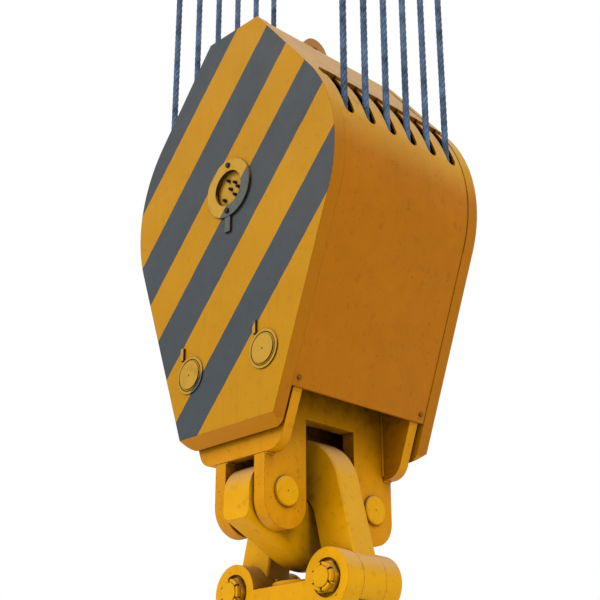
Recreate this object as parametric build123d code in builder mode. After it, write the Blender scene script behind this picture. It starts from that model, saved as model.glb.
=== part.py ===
"""Travelling block with its bail, hook bail and spring hook, for a tall mast or derrick.

Millimetres. The origin is the centre of the sheave axle: X runs across the side plates,
Y along the axle and Z up. The front is the -Y side.
"""
import os
from math import acos, atan2, cos, degrees, hypot, pi, radians, sin, tan

from build123d import *

os.makedirs("parts", exist_ok=True)

# Side plates: a round middle, straight shoulders up to a flat top, straight sides down to the foot
PLATE_R = 800
PLATE_OUT = 565
PLATE_T = 75
PLATE_IN = PLATE_OUT - PLATE_T
TOP_HALF, TOP_Z = 203, 1018
BEVEL_HALF, BEVEL_Z = 360, -1342
FOOT_Z = -1393
FOOT_FILLET = 65

# Sheaves, their axle and ropes
SHEAVES = 6
SHEAVE_PITCH = 163.8
SHEAVE_R = 762
ROPE_R = 19
ROPE_LINE_R = 723
GROOVE_R = ROPE_R + 1.5
GROOVE_HALF_ANGLE = 17.5
RIM_HALF, RIM_IN_R = 58, 655
WEB_HALF = 14
HUB_HALF, HUB_R = 76, 205
AXLE_R = 118
AXLE_HALF = 550
RING_SPLIT_R = 140
RUNNING_FIT = 0.05
CUP_R = 168
BEARING_HALF = 72
ROPE_TOP_Z = 2210
ROPE_TURNS = 6
SOCKET_LENGTH, SOCKET_TOP_R, SOCKET_LOW_R = 150, 52, 27

# Axle ends, tie pins and their keepers
CAP_R, CAP_IN_R, CAP_T = 172, 104, 15
CAP_BOLT_R = 138
TIE_X, TIE_Z = 287, -1000
TIE_R, TIE_HEAD_R = 77, 103
TIE_HEAD_T, TIE_END_T = 7, 13
HEAD_GROOVE_R, HEAD_GROOVE_W, HEAD_GROOVE_T = 84, 5, 4
CENTRE_MARK_R, CENTRE_MARK_T = 8, 9
KEEPER_T = 14

# Sheet covers between the side plates
COVER_INSET, COVER_T = 4, 12
COVER_HALF = PLATE_IN
COVER_FOOT_Z = -1199
SLOT_HALF, SLOT_FOOT_Z = 36, 210
FLANGE_T, FLANGE_OUT = 9, 16
COVER_BOLT_R, COVER_BOLT_T = 13, 10

# Top beam with its two hanging lugs
BEAM_HALF, BEAM_LOW_Z, BEAM_TOP_Z = 186, 935, 1012
LUG_TOP_R, LUG_TOP_Z = 100, 1078
LUG_TOP_BORE_R = 42
LUG_TOP_IN, LUG_TOP_OUT = 60, 98

# Hanger plates, lug plates and the lower bail
HANGER_IN, HANGER_OUT = 400, 462
HANGER_TOP_Z, HANGER_LOW_Z = -870, -1485
HANGER_INSET, HANGER_FILLET = 18, 100
LUG_IN, LUG_OUT = 108, 186
LUG_HEAD_Z, WINDOW_Z = -880, -1262
LEG_IN, LEG_OUT, LEG_ARC_Z = 176, 460, -1707
BAIL_PIN_Y, BAIL_PIN_Z, BAIL_PIN_R = 318, -1662, 76
BAIL_PIN_HALF = 206
BAIL_HALF, BAIL_EYE_R = 97, 162
BAIL_OUT_Y, BAIL_SIDE_Z, BAIL_APEX_Z, BAIL_LOW_ARC_R = 480, -1795, -2030, 340
WASHER_R = 128
SWING_Z = -1770
SADDLE_R = 142
SADDLE_GAP = 0.5
SADDLE_HALF = 165

# Hook bail
CROWN_R, CROWN_Z = 325, -1645
ARM_LEAN = 14.8
ARM_HALF = 80
EYE_X, EYE_Z, EYE_R = 337, -2087, 147
HOOK_PIN_R = 62

# Hook body with its barrel
EAR_IN, EAR_OUT = 82, 190
BODY_TOP_Z, BODY_LOW_HALF, BODY_LOW_Z = -2085, 262, -2520
POCKET_R, POCKET_HALF = 152, 80.5
BARREL_R, BARREL_TOP_Z, BARREL_LOW_Z = 270, -2260, -3020
BORE_R, BORE_TOP_Z, BORE_LOW_Z = 213, -2290, -2960
CHAMBER_R, MOUTH_R, MOUTH_Z = 150, 130, -2112
FLOOR_BORE_R = 95
NUT_SEAT_R, NUT_SEAT_T = 95, 20
NUT_FLATS, NUT_HEX_T, NUT_CROWN_T, NUT_CROWN_R = 145, 36, 22, 70
STUD_R, STUD_OUT = 52, 232
CAP_PLATE_R, CAP_PLATE_T, CAP_DOME_R, CAP_DOME_T = 172, 24, 55, 42
CAP_SCREWS, CAP_SCREW_R = 8, 151

# Spring carrier, springs and bearing
CARRIER_R, CARRIER_IN_R = 212.5, 165
CARRIER_TOP_Z, CARRIER_SEAT_Z, CARRIER_LOW_Z = -2294, -2380, -2440
THRUST_TOP_Z, THRUST_WASHER_T, THRUST_ROLLER_R = -2291, 24, 20
THRUST_IN_R, THRUST_OUT_R = 88, 152
OUTER_WIRE_R, OUTER_COIL_R, OUTER_TURNS = 19, 180, 6
INNER_WIRE_R, INNER_COIL_R, INNER_TURNS = 13, 122, 9

# Hook
STEM_R, STEM_TOP_Z = 75, -2150
STEM_NUT_R, STEM_NUT_TOP_Z = 122, -2172
HEAD_Z = -3280
HOOK_HALF = 95
MOUTH_CENTRE_Z = HEAD_Z - 560
MOUTH_IN_R = 118
HOOK_CHAMFER = 30
HORN_HALF = 70
SEAT_Y, SEAT_Z, SEAT_R = 218, HEAD_Z - 112, 64
LOCK_PIN_Y, LOCK_PIN_Z, LOCK_PIN_R = 124, HEAD_Z + 8, 14
LATCH_X, LATCH_Z, LATCH_PIN_R = 122, HEAD_Z - 205, 16
LATCH_IN, LATCH_OUT = 96.5, 120


def polar(radius, angle):
    """Point in the X-Z plane at an angle in radians from +X."""
    return (radius * cos(angle), radius * sin(angle))


UPPER = atan2(TOP_Z, TOP_HALF) - acos(PLATE_R / hypot(TOP_HALF, TOP_Z))
LOWER = atan2(BEVEL_Z, BEVEL_HALF) + acos(PLATE_R / hypot(BEVEL_HALF, BEVEL_Z))


def on_side(inset, z):
    """Point at height z on the straight lower side of the plates, moved in by inset."""
    x, tangent_z = polar(PLATE_R - inset, LOWER)
    return (x + (z - tangent_z) * -tan(LOWER), z)


def on_shoulder(inset, z):
    """Point at height z on the straight upper shoulder of the plates, moved in by inset."""
    x, tangent_z = polar(PLATE_R - inset, UPPER)
    return (x - (z - tangent_z) * tan(UPPER), z)


def side_plate(side):
    """One side plate with a bevelled foot: side is -1 at the front and 1 at the rear."""
    shoulder, flank = polar(PLATE_R, UPPER), polar(PLATE_R, LOWER)
    foot = on_side(0, FOOT_Z)
    with BuildPart() as plate:
        with BuildSketch(Plane.XZ.offset(PLATE_IN if side < 0 else -PLATE_OUT)):
            with BuildLine():
                Polyline((0, TOP_Z), (TOP_HALF, TOP_Z), shoulder)
                ThreePointArc(shoulder, (PLATE_R, 0), flank)
                Polyline(flank, foot, (0, FOOT_Z))
                mirror(about=Plane.YZ)
            make_face()
            with Locations((0, 0)):
                Circle(AXLE_R, mode=Mode.SUBTRACT)
            with Locations((TIE_X, TIE_Z), (-TIE_X, TIE_Z)):
                Circle(TIE_R, mode=Mode.SUBTRACT)
        extrude(amount=PLATE_T)
        foot_corners = edges().filter_by(Axis.Y).group_by(Axis.Z)[0]
        fillet(foot_corners, radius=FOOT_FILLET)
        with BuildSketch(Plane.YZ.offset(-PLATE_R)):
            with BuildLine():
                Polyline((side * PLATE_OUT, BEVEL_Z), (side * PLATE_IN, FOOT_Z),
                         (side * PLATE_IN, FOOT_Z - 20), (side * (PLATE_OUT + 20), FOOT_Z - 20),
                         (side * (PLATE_OUT + 20), BEVEL_Z), close=True)
            make_face()
        extrude(amount=2 * PLATE_R, mode=Mode.SUBTRACT)
    return plate


front_side_plate = side_plate(-1)
front_side_plate.part.label = "front_side_plate"
export_step(front_side_plate.part, "parts/front_side_plate.step")

rear_side_plate = side_plate(1)
rear_side_plate.part.label = "rear_side_plate"
export_step(rear_side_plate.part, "parts/rear_side_plate.step")


def hanger_plate(near_y):
    """Hanger plate whose rearmost face is at Y = near_y."""
    top, low = on_side(HANGER_INSET, HANGER_TOP_Z), on_side(HANGER_INSET, HANGER_LOW_Z)
    with BuildPart() as plate:
        with BuildSketch(Plane.XZ.offset(-near_y)):
            with BuildLine():
                Polyline((0, HANGER_TOP_Z), top, low, (0, HANGER_LOW_Z))
                mirror(about=Plane.YZ)
            make_face()
            with Locations((TIE_X, TIE_Z), (-TIE_X, TIE_Z)):
                Circle(TIE_R, mode=Mode.SUBTRACT)
        extrude(amount=HANGER_OUT - HANGER_IN)
        low_corners = edges().filter_by(Axis.Y).group_by(Axis.Z)[0]
        fillet(low_corners, radius=HANGER_FILLET)
    return plate


front_hanger_plate = hanger_plate(-HANGER_IN)
front_hanger_plate.part.label = "front_hanger_plate"
export_step(front_hanger_plate.part, "parts/front_hanger_plate.step")

rear_hanger_plate = hanger_plate(HANGER_OUT)
rear_hanger_plate.part.label = "rear_hanger_plate"
export_step(rear_hanger_plate.part, "parts/rear_hanger_plate.step")


def lug_plate(near_x):
    """Plate across the block with two legs, each with an eye for a bail pin."""
    leg_mid, leg_half = (LEG_IN + LEG_OUT) / 2, (LEG_OUT - LEG_IN) / 2
    with BuildPart() as plate:
        with BuildSketch(Plane.YZ.offset(near_x)):
            with BuildLine():
                Polyline((0, LUG_HEAD_Z), (HANGER_IN, LUG_HEAD_Z), (HANGER_IN, HANGER_LOW_Z),
                         (LEG_OUT, HANGER_LOW_Z), (LEG_OUT, LEG_ARC_Z))
                ThreePointArc((LEG_OUT, LEG_ARC_Z), (leg_mid, LEG_ARC_Z - leg_half),
                              (LEG_IN, LEG_ARC_Z))
                Polyline((LEG_IN, LEG_ARC_Z), (LEG_IN, WINDOW_Z), (0, WINDOW_Z))
                mirror(about=Plane.YZ)
            make_face()
            with Locations((BAIL_PIN_Y, BAIL_PIN_Z), (-BAIL_PIN_Y, BAIL_PIN_Z)):
                Circle(BAIL_PIN_R, mode=Mode.SUBTRACT)
        extrude(amount=LUG_OUT - LUG_IN)
    return plate


right_lug_plate = lug_plate(LUG_IN)
right_lug_plate.part.label = "right_lug_plate"
export_step(right_lug_plate.part, "parts/right_lug_plate.step")

left_lug_plate = lug_plate(-LUG_OUT)
left_lug_plate.part.label = "left_lug_plate"
export_step(left_lug_plate.part, "parts/left_lug_plate.step")

# Tie pins: a head at the front, and a plain end that carries a collar at the rear
with BuildPart() as tie_pins:
    with Locations((TIE_X, 0, TIE_Z), (-TIE_X, 0, TIE_Z)):
        Cylinder(TIE_R, 2 * (PLATE_OUT + TIE_END_T), rotation=(90, 0, 0))
    with Locations((TIE_X, -PLATE_OUT - TIE_HEAD_T / 2, TIE_Z),
                   (-TIE_X, -PLATE_OUT - TIE_HEAD_T / 2, TIE_Z)):
        Cylinder(TIE_HEAD_R, TIE_HEAD_T, rotation=(90, 0, 0))
    with BuildSketch(Plane.XZ.offset(PLATE_OUT + TIE_HEAD_T)):
        with Locations((TIE_X, TIE_Z), (-TIE_X, TIE_Z)):
            Circle(HEAD_GROOVE_R + HEAD_GROOVE_W)
            Circle(HEAD_GROOVE_R, mode=Mode.SUBTRACT)
    extrude(amount=-HEAD_GROOVE_T, mode=Mode.SUBTRACT)
    for x in (TIE_X, -TIE_X):
        with Locations((x, -PLATE_OUT - TIE_END_T, TIE_Z)):
            Cone(CENTRE_MARK_R, 0.5, 2 * CENTRE_MARK_T, rotation=(-90, 0, 0), mode=Mode.SUBTRACT)
        with Locations((x, PLATE_OUT + TIE_END_T, TIE_Z)):
            Cone(CENTRE_MARK_R, 0.5, 2 * CENTRE_MARK_T, rotation=(90, 0, 0), mode=Mode.SUBTRACT)
tie_pins.part.label = "tie_pins"
export_step(tie_pins.part, "parts/tie_pins.step")

# Keepers: collars on the rear ends, small bars at the heads, and one bar under each axle cap
with BuildPart() as pin_keepers:
    with BuildSketch(Plane.XZ.offset(-PLATE_OUT - TIE_HEAD_T)):
        with Locations((TIE_X, TIE_Z), (-TIE_X, TIE_Z)):
            Circle(TIE_HEAD_R)
            Circle(TIE_R, mode=Mode.SUBTRACT)
    extrude(amount=TIE_HEAD_T)
    for x in (TIE_X, -TIE_X):
        with Locations((x - 62, -PLATE_OUT - KEEPER_T / 2, TIE_Z + TIE_HEAD_R + 26)):
            Box(22, KEEPER_T, 70)
    for y in (-PLATE_OUT - KEEPER_T / 2, PLATE_OUT + KEEPER_T / 2):
        with Locations((0, y, -CAP_R - 46)):
            Box(44, KEEPER_T, 88)
pin_keepers.part.label = "pin_keepers"
export_step(pin_keepers.part, "parts/pin_keepers.step")

# Axle, its end rings, their bolts and the grease fittings in the front end
with BuildPart() as sheave_axle:
    Cylinder(AXLE_R, 2 * AXLE_HALF, rotation=(90, 0, 0))
    chamfer(edges().filter_by(GeomType.CIRCLE), length=8)
sheave_axle.part.label = "sheave_axle"
export_step(sheave_axle.part, "parts/sheave_axle.step")

with BuildPart() as axle_end_caps:
    for y in (-PLATE_OUT, PLATE_OUT + CAP_T):
        with BuildSketch(Plane.XZ.offset(-y)):
            Circle(CAP_R)
            Circle(CAP_IN_R, mode=Mode.SUBTRACT)
        extrude(amount=CAP_T)
axle_end_caps.part.label = "axle_end_caps"
export_step(axle_end_caps.part, "parts/axle_end_caps.step")

with BuildPart() as axle_cap_bolts:
    for y in (-PLATE_OUT - CAP_T - 12, PLATE_OUT + CAP_T):
        with BuildSketch(Plane.XZ.offset(-y - 12)):
            with Locations((0, CAP_BOLT_R), (0, -CAP_BOLT_R)):
                RegularPolygon(radius=15, side_count=6)
        extrude(amount=12)
axle_cap_bolts.part.label = "axle_cap_bolts"
export_step(axle_cap_bolts.part, "parts/axle_cap_bolts.step")

FITTINGS = [(0, 0), (-48, -52), (34, 30), (60, -4), (36, -44), (-20, 58)]
with BuildPart() as grease_fittings:
    for x, z in FITTINGS:
        with Locations((x, -AXLE_HALF - 9, z)):
            Cylinder(9, 18, rotation=(90, 0, 0))
        with Locations((x, -AXLE_HALF - 21, z)):
            Cylinder(5, 6, rotation=(90, 0, 0))
grease_fittings.part.label = "grease_fittings"
export_step(grease_fittings.part, "parts/grease_fittings.step")

SHEAVE_Y = [(k - (SHEAVES - 1) / 2) * SHEAVE_PITCH for k in range(SHEAVES)]


def turned_ring(inner, outer, middle_y, half):
    """Plain ring about the axle."""
    with BuildPart() as ring:
        with BuildSketch(Plane.XY):
            with Locations(((inner + outer) / 2, middle_y)):
                Rectangle(outer - inner, 2 * half)
        revolve(axis=Axis.Y)
    return ring.part


# Spacer rings: between the bearings on the axle, at its two ends, and on the tie pins
with BuildPart() as spacer_rings:
    for left, right in zip(SHEAVE_Y, SHEAVE_Y[1:]):
        gap_half = (right - left) / 2 - BEARING_HALF
        add(turned_ring(AXLE_R, RING_SPLIT_R - 4, (left + right) / 2, gap_half))
    end_half = (PLATE_IN - SHEAVE_Y[-1] - BEARING_HALF) / 2
    for side in (-1, 1):
        add(turned_ring(AXLE_R, RING_SPLIT_R - 4, side * (PLATE_IN - end_half), end_half))
    for y in (-HANGER_OUT, PLATE_IN):
        with BuildSketch(Plane.XZ.offset(-y)):
            with Locations((TIE_X, TIE_Z), (-TIE_X, TIE_Z)):
                Circle(TIE_R + 22)
                Circle(TIE_R, mode=Mode.SUBTRACT)
        extrude(amount=PLATE_IN - HANGER_OUT)
spacer_rings.part.label = "spacer_rings"
export_step(spacer_rings.part, "parts/spacer_rings.step")

with BuildPart() as bearing_inner_rings:
    for y in SHEAVE_Y:
        add(turned_ring(AXLE_R, RING_SPLIT_R, y, BEARING_HALF))
bearing_inner_rings.part.label = "bearing_inner_rings"
export_step(bearing_inner_rings.part, "parts/bearing_inner_rings.step")

for number, y in enumerate(SHEAVE_Y, start=1):
    with BuildPart() as bearing_outer_ring:
        add(turned_ring(RING_SPLIT_R + RUNNING_FIT, CUP_R, y, BEARING_HALF - 3))
    bearing_outer_ring.part.label = f"bearing_outer_ring_{number}"
    export_step(bearing_outer_ring.part, f"parts/bearing_outer_ring_{number}.step")

    groove_mouth = GROOVE_R / cos(radians(GROOVE_HALF_ANGLE))
    groove_mouth += (SHEAVE_R + 10 - ROPE_LINE_R) * tan(radians(GROOVE_HALF_ANGLE))
    with BuildPart() as sheave:
        with BuildSketch(Plane.XY):
            with BuildLine():
                Polyline((CUP_R, y), (CUP_R, y + HUB_HALF), (HUB_R, y + HUB_HALF),
                         (HUB_R + 45, y + WEB_HALF), (RIM_IN_R, y + WEB_HALF),
                         (RIM_IN_R + 25, y + RIM_HALF), (SHEAVE_R, y + RIM_HALF), (SHEAVE_R, y))
                mirror(about=Plane.XZ.offset(-y))
            make_face()
            with Locations((ROPE_LINE_R, y)):
                Circle(GROOVE_R, mode=Mode.SUBTRACT)
            with BuildLine():
                side_y = GROOVE_R * cos(radians(GROOVE_HALF_ANGLE))
                side_x = ROPE_LINE_R - GROOVE_R * sin(radians(GROOVE_HALF_ANGLE))
                Polyline((side_x, y - side_y), (side_x, y + side_y),
                         (SHEAVE_R + 10, y + groove_mouth), (SHEAVE_R + 10, y - groove_mouth),
                         close=True)
            make_face(mode=Mode.SUBTRACT)
        revolve(axis=Axis.Y)
    sheave.part.label = f"sheave_{number}"
    export_step(sheave.part, f"parts/sheave_{number}.step")


def rope_route(y):
    """Corners of a rope that comes down, goes under its sheave and up again."""
    step = pi / ROPE_TURNS
    corner_r = ROPE_LINE_R / cos(step / 2)
    corners = [polar(corner_r, pi + step * (k + 0.5)) for k in range(ROPE_TURNS)]
    ends = (-ROPE_LINE_R, ROPE_TOP_Z), (ROPE_LINE_R, ROPE_TOP_Z)
    return [(x, y, z) for x, z in [ends[0], *corners, ends[1]]]


for number, y in enumerate(SHEAVE_Y, start=1):
    with BuildPart() as rope:
        with BuildLine() as centre_line:
            FilletPolyline(*rope_route(y), radius=ROPE_LINE_R * 0.9999)
        with BuildSketch(Plane((-ROPE_LINE_R, y, ROPE_TOP_Z), z_dir=(0, 0, -1))):
            Circle(ROPE_R)
        sweep(path=centre_line.line)
    rope.part.label = f"rope_{number}"
    export_step(rope.part, f"parts/rope_{number}.step")
    length = centre_line.wires()[0].length
    print(f"rope_{number}: length {length:.0f}, arc radius {ROPE_LINE_R:.0f},"
          f" volume ratio {rope.part.volume / (pi * ROPE_R ** 2 * length):.4f}")

# Sockets that close the cut rope ends, two for each rope
with BuildPart() as rope_sockets:
    for y in SHEAVE_Y:
        with Locations((-ROPE_LINE_R, y, ROPE_TOP_Z + SOCKET_LENGTH / 2),
                       (ROPE_LINE_R, y, ROPE_TOP_Z + SOCKET_LENGTH / 2)):
            Cone(SOCKET_LOW_R, SOCKET_TOP_R, SOCKET_LENGTH)
rope_sockets.part.label = "rope_sockets"
export_step(rope_sockets.part, "parts/rope_sockets.step")


def side_cover(side):
    """Wrap-round sheet from the shoulder to the foot, with an open slot for each rope."""
    outer, inner = PLATE_R - COVER_INSET, PLATE_R - COVER_INSET - COVER_T
    with BuildPart() as cover:
        with BuildSketch(Plane.XZ.offset(COVER_HALF)):
            with BuildLine():
                ThreePointArc(polar(outer, UPPER), (outer, 0), polar(outer, LOWER))
                Polyline(polar(outer, LOWER), on_side(COVER_INSET, COVER_FOOT_Z),
                         on_side(COVER_INSET + COVER_T, COVER_FOOT_Z), polar(inner, LOWER))
                ThreePointArc(polar(inner, LOWER), (inner, 0), polar(inner, UPPER))
                Line(polar(inner, UPPER), polar(outer, UPPER))
            make_face()
            ridge = polar(PLATE_R - COVER_INSET + FLANGE_OUT / 2 - 5, UPPER - FLANGE_T / 2 / PLATE_R)
            with Locations(Location((*ridge, 0), (0, 0, degrees(UPPER)))):
                Rectangle(FLANGE_OUT + 10, FLANGE_T)
            if side < 0:
                mirror(about=Plane.YZ, mode=Mode.REPLACE)
        extrude(amount=-2 * COVER_HALF)
        with BuildSketch(Plane.YZ.offset(side * 560)):
            for y in SHEAVE_Y:
                with Locations((y, SLOT_FOOT_Z + SLOT_HALF + 300)):
                    Rectangle(2 * SLOT_HALF, 600)
                with Locations((y, SLOT_FOOT_Z + SLOT_HALF)):
                    Circle(SLOT_HALF)
        extrude(amount=side * 300, mode=Mode.SUBTRACT)
    return cover


right_side_cover = side_cover(1)
right_side_cover.part.label = "right_side_cover"
export_step(right_side_cover.part, "parts/right_side_cover.step")

left_side_cover = side_cover(-1)
left_side_cover.part.label = "left_side_cover"
export_step(left_side_cover.part, "parts/left_side_cover.step")


def top_cover(side):
    """Flat sheet over the shoulder, with a flange along the ridge."""
    with BuildPart() as cover:
        with BuildSketch(Plane.XZ.offset(COVER_HALF)):
            with BuildLine():
                Polyline(polar(PLATE_R - COVER_INSET, UPPER + 0.002), on_shoulder(COVER_INSET, BEAM_TOP_Z),
                         on_shoulder(COVER_INSET + COVER_T, BEAM_TOP_Z),
                         polar(PLATE_R - COVER_INSET - COVER_T, UPPER + 0.002), close=True)
            make_face()
            ridge = polar(PLATE_R - COVER_INSET + FLANGE_OUT / 2 - 5,
                          UPPER + 0.003 + FLANGE_T / 2 / PLATE_R)
            with Locations(Location((*ridge, 0), (0, 0, degrees(UPPER)))):
                Rectangle(FLANGE_OUT + 10, FLANGE_T)
            if side < 0:
                mirror(about=Plane.YZ, mode=Mode.REPLACE)
        extrude(amount=-2 * COVER_HALF)
    return cover


right_top_cover = top_cover(1)
right_top_cover.part.label = "right_top_cover"
export_step(right_top_cover.part, "parts/right_top_cover.step")

left_top_cover = top_cover(-1)
left_top_cover.part.label = "left_top_cover"
export_step(left_top_cover.part, "parts/left_top_cover.step")

# Beam that joins the plates at the top, with two hanging lugs
with BuildPart() as top_beam:
    with Locations((0, 0, (BEAM_LOW_Z + BEAM_TOP_Z) / 2)):
        Box(2 * BEAM_HALF, 2 * PLATE_IN, BEAM_TOP_Z - BEAM_LOW_Z)
    for near_x in (LUG_TOP_IN, -LUG_TOP_OUT):
        with BuildSketch(Plane.YZ.offset(near_x)):
            with Locations((0, LUG_TOP_Z)):
                Circle(LUG_TOP_R)
            with Locations((0, (LUG_TOP_Z + BEAM_TOP_Z) / 2)):
                Rectangle(2 * LUG_TOP_R, LUG_TOP_Z - BEAM_TOP_Z)
            with Locations((0, LUG_TOP_Z)):
                Circle(LUG_TOP_BORE_R, mode=Mode.SUBTRACT)
        extrude(amount=LUG_TOP_OUT - LUG_TOP_IN)
top_beam.part.label = "top_beam"
export_step(top_beam.part, "parts/top_beam.step")


def cover_bolt_planes():
    """Plane of each cover bolt's seat, with its normal pointing out of the sheet."""
    x, z = on_side(COVER_INSET, COVER_FOOT_Z + 42)
    for y in (-COVER_HALF + 38, COVER_HALF - 38):
        for side in (-1, 1):
            yield Plane((side * x, y, z), x_dir=(0, 1, 0), z_dir=(side * cos(LOWER), 0, sin(LOWER)))


with BuildPart() as cover_bolts:
    for seat in cover_bolt_planes():
        with BuildSketch(seat):
            RegularPolygon(radius=COVER_BOLT_R, side_count=6)
        extrude(amount=COVER_BOLT_T)
cover_bolts.part.label = "cover_bolts"
export_step(cover_bolts.part, "parts/cover_bolts.step")

# Lower bail: two eyes between the lug plates and a round saddle under the hook bail
with BuildPart() as lower_bail:
    with BuildSketch(Plane.YZ.offset(-BAIL_HALF)):
        with BuildLine():
            Polyline((BAIL_OUT_Y, BAIL_SIDE_Z), (BAIL_OUT_Y, BAIL_PIN_Z), (SADDLE_HALF, -1705),
                     (-SADDLE_HALF, -1705), (-BAIL_OUT_Y, BAIL_PIN_Z), (-BAIL_OUT_Y, BAIL_SIDE_Z))
            FilletPolyline((-BAIL_OUT_Y, BAIL_SIDE_Z), (0, BAIL_APEX_Z), (BAIL_OUT_Y, BAIL_SIDE_Z),
                           radius=BAIL_LOW_ARC_R)
        make_face()
        with Locations((BAIL_PIN_Y, BAIL_PIN_Z), (-BAIL_PIN_Y, BAIL_PIN_Z)):
            Circle(BAIL_EYE_R)
        with Locations((BAIL_PIN_Y, BAIL_PIN_Z), (-BAIL_PIN_Y, BAIL_PIN_Z)):
            Circle(BAIL_PIN_R, mode=Mode.SUBTRACT)
    extrude(amount=2 * BAIL_HALF)
    with BuildSketch(Plane.XZ.offset(-SADDLE_HALF)):
        with Locations((0, SWING_Z)):
            Circle(SADDLE_R)
            Rectangle(2 * BAIL_HALF, 4 * SADDLE_R, mode=Mode.INTERSECT)
    extrude(amount=2 * SADDLE_HALF)
    low_edges = edges().filter_by(
        lambda e: abs(abs(e.center().X) - BAIL_HALF) < 1 and e.center().Z < BAIL_SIDE_Z - 20)
    fillet(low_edges, radius=42)
lower_bail.part.label = "lower_bail"
export_step(lower_bail.part, "parts/lower_bail.step")

with BuildPart() as bail_pins:
    with Locations((0, BAIL_PIN_Y, BAIL_PIN_Z), (0, -BAIL_PIN_Y, BAIL_PIN_Z)):
        Cylinder(BAIL_PIN_R, 2 * BAIL_PIN_HALF, rotation=(0, 90, 0))
    chamfer(edges().filter_by(GeomType.CIRCLE), length=5)
    for side in (-1, 1):
        with Locations((side * BAIL_PIN_HALF, BAIL_PIN_Y, BAIL_PIN_Z),
                       (side * BAIL_PIN_HALF, -BAIL_PIN_Y, BAIL_PIN_Z)):
            Cone(CENTRE_MARK_R, 0.5, 2 * CENTRE_MARK_T, rotation=(0, -side * 90, 0), mode=Mode.SUBTRACT)
bail_pins.part.label = "bail_pins"
export_step(bail_pins.part, "parts/bail_pins.step")

with BuildPart() as bail_washers:
    for near_x in (BAIL_HALF, -LUG_IN):
        with BuildSketch(Plane.YZ.offset(near_x)):
            with Locations((BAIL_PIN_Y, BAIL_PIN_Z), (-BAIL_PIN_Y, BAIL_PIN_Z)):
                Circle(WASHER_R)
                Circle(BAIL_PIN_R, mode=Mode.SUBTRACT)
        extrude(amount=LUG_IN - BAIL_HALF)
bail_washers.part.label = "bail_washers"
export_step(bail_washers.part, "parts/bail_washers.step")


def arm_point(radius, centre_z, tilt, z):
    """Point at height z on the leaning line that touches a circle on the centre line."""
    lean = radians(ARM_LEAN)
    touch_x = radius * cos(lean)
    touch_z = centre_z + tilt * radius * sin(lean)
    return (touch_x + (touch_z - z) * tan(lean), z)


ARCH_R = SADDLE_R + SADDLE_GAP
with BuildPart() as hook_bail:
    with BuildSketch(Plane.XZ.offset(-ARM_HALF)):
        with Locations((0, CROWN_Z)):
            Circle(CROWN_R)
        with BuildLine():
            crown_side = arm_point(CROWN_R, CROWN_Z, 1, CROWN_Z + CROWN_R * sin(radians(ARM_LEAN)))
            Polyline((0, crown_side[1]), crown_side, arm_point(CROWN_R, CROWN_Z, 1, EYE_Z + 20),
                     (0, EYE_Z + 20))
            mirror(about=Plane.YZ)
        make_face()
        with Locations((0, SWING_Z)):
            Circle(ARCH_R, mode=Mode.SUBTRACT)
        with BuildLine():
            arch_side = arm_point(ARCH_R, SWING_Z, 1, SWING_Z + ARCH_R * sin(radians(ARM_LEAN)))
            Polyline((0, arch_side[1]), arch_side, arm_point(ARCH_R, SWING_Z, 1, EYE_Z - 200),
                     (0, EYE_Z - 200))
            mirror(about=Plane.YZ)
        make_face(mode=Mode.SUBTRACT)
        with Locations((EYE_X, EYE_Z), (-EYE_X, EYE_Z)):
            Circle(EYE_R)
        with Locations((EYE_X, EYE_Z), (-EYE_X, EYE_Z)):
            Circle(HOOK_PIN_R, mode=Mode.SUBTRACT)
    extrude(amount=2 * ARM_HALF)
    crown_edges = edges().filter_by(
        lambda e: abs(abs(e.center().Y) - ARM_HALF) < 1 and e.center().Z > EYE_Z + EYE_R + 20)
    chamfer(crown_edges, length=9)
hook_bail.part.label = "hook_bail"
export_step(hook_bail.part, "parts/hook_bail.step")

# Hook body: two ears each side of each arm, on a barrel that holds the springs
EYES = ((EYE_X, EYE_Z), (-EYE_X, EYE_Z))
with BuildPart() as hook_body:
    with BuildSketch(Plane.XZ.offset(-EAR_OUT)):
        ear_low_x = EYE_X + EYE_R * cos(radians(25))
        ear_low_z = EYE_Z - EYE_R * sin(radians(25))
        with BuildLine():
            Polyline((0, BODY_TOP_Z), (EYE_X, BODY_TOP_Z), (ear_low_x, ear_low_z),
                     (BODY_LOW_HALF, BODY_LOW_Z), (0, BODY_LOW_Z))
            mirror(about=Plane.YZ)
        make_face()
        with Locations(*EYES):
            Circle(EYE_R)
    extrude(amount=2 * EAR_OUT)
    with BuildSketch(Plane.XZ.offset(-POCKET_HALF)):
        with Locations(*EYES):
            Circle(POCKET_R)
    extrude(amount=2 * POCKET_HALF, mode=Mode.SUBTRACT)
    with Locations((0, 0, (BARREL_TOP_Z + BARREL_LOW_Z) / 2)):
        Cylinder(BARREL_R, BARREL_TOP_Z - BARREL_LOW_Z)
    with BuildSketch(Plane.XZ.offset(-POCKET_HALF)):
        with Locations(*EYES):
            Circle(POCKET_R)
    extrude(amount=2 * POCKET_HALF, mode=Mode.SUBTRACT)
    with BuildSketch(Plane.XZ):
        with BuildLine():
            Polyline((0, BODY_TOP_Z), (MOUTH_R, BODY_TOP_Z), (MOUTH_R, MOUTH_Z),
                     (CHAMBER_R, MOUTH_Z), (CHAMBER_R, BORE_TOP_Z), (BORE_R, BORE_TOP_Z),
                     (BORE_R, BORE_LOW_Z), (FLOOR_BORE_R, BORE_LOW_Z),
                     (FLOOR_BORE_R, BARREL_LOW_Z), (0, BARREL_LOW_Z), close=True)
        make_face()
    revolve(axis=Axis.Z, mode=Mode.SUBTRACT)
    with BuildSketch(Plane.XZ.offset(EAR_OUT - NUT_SEAT_T)):
        with Locations(*EYES):
            Circle(NUT_SEAT_R)
    extrude(amount=NUT_SEAT_T, mode=Mode.SUBTRACT)
    with BuildSketch(Plane.XZ.offset(-EAR_OUT)):
        with Locations(*EYES):
            Circle(HOOK_PIN_R)
    extrude(amount=2 * EAR_OUT, mode=Mode.SUBTRACT)
hook_body.part.label = "hook_body"
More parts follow.
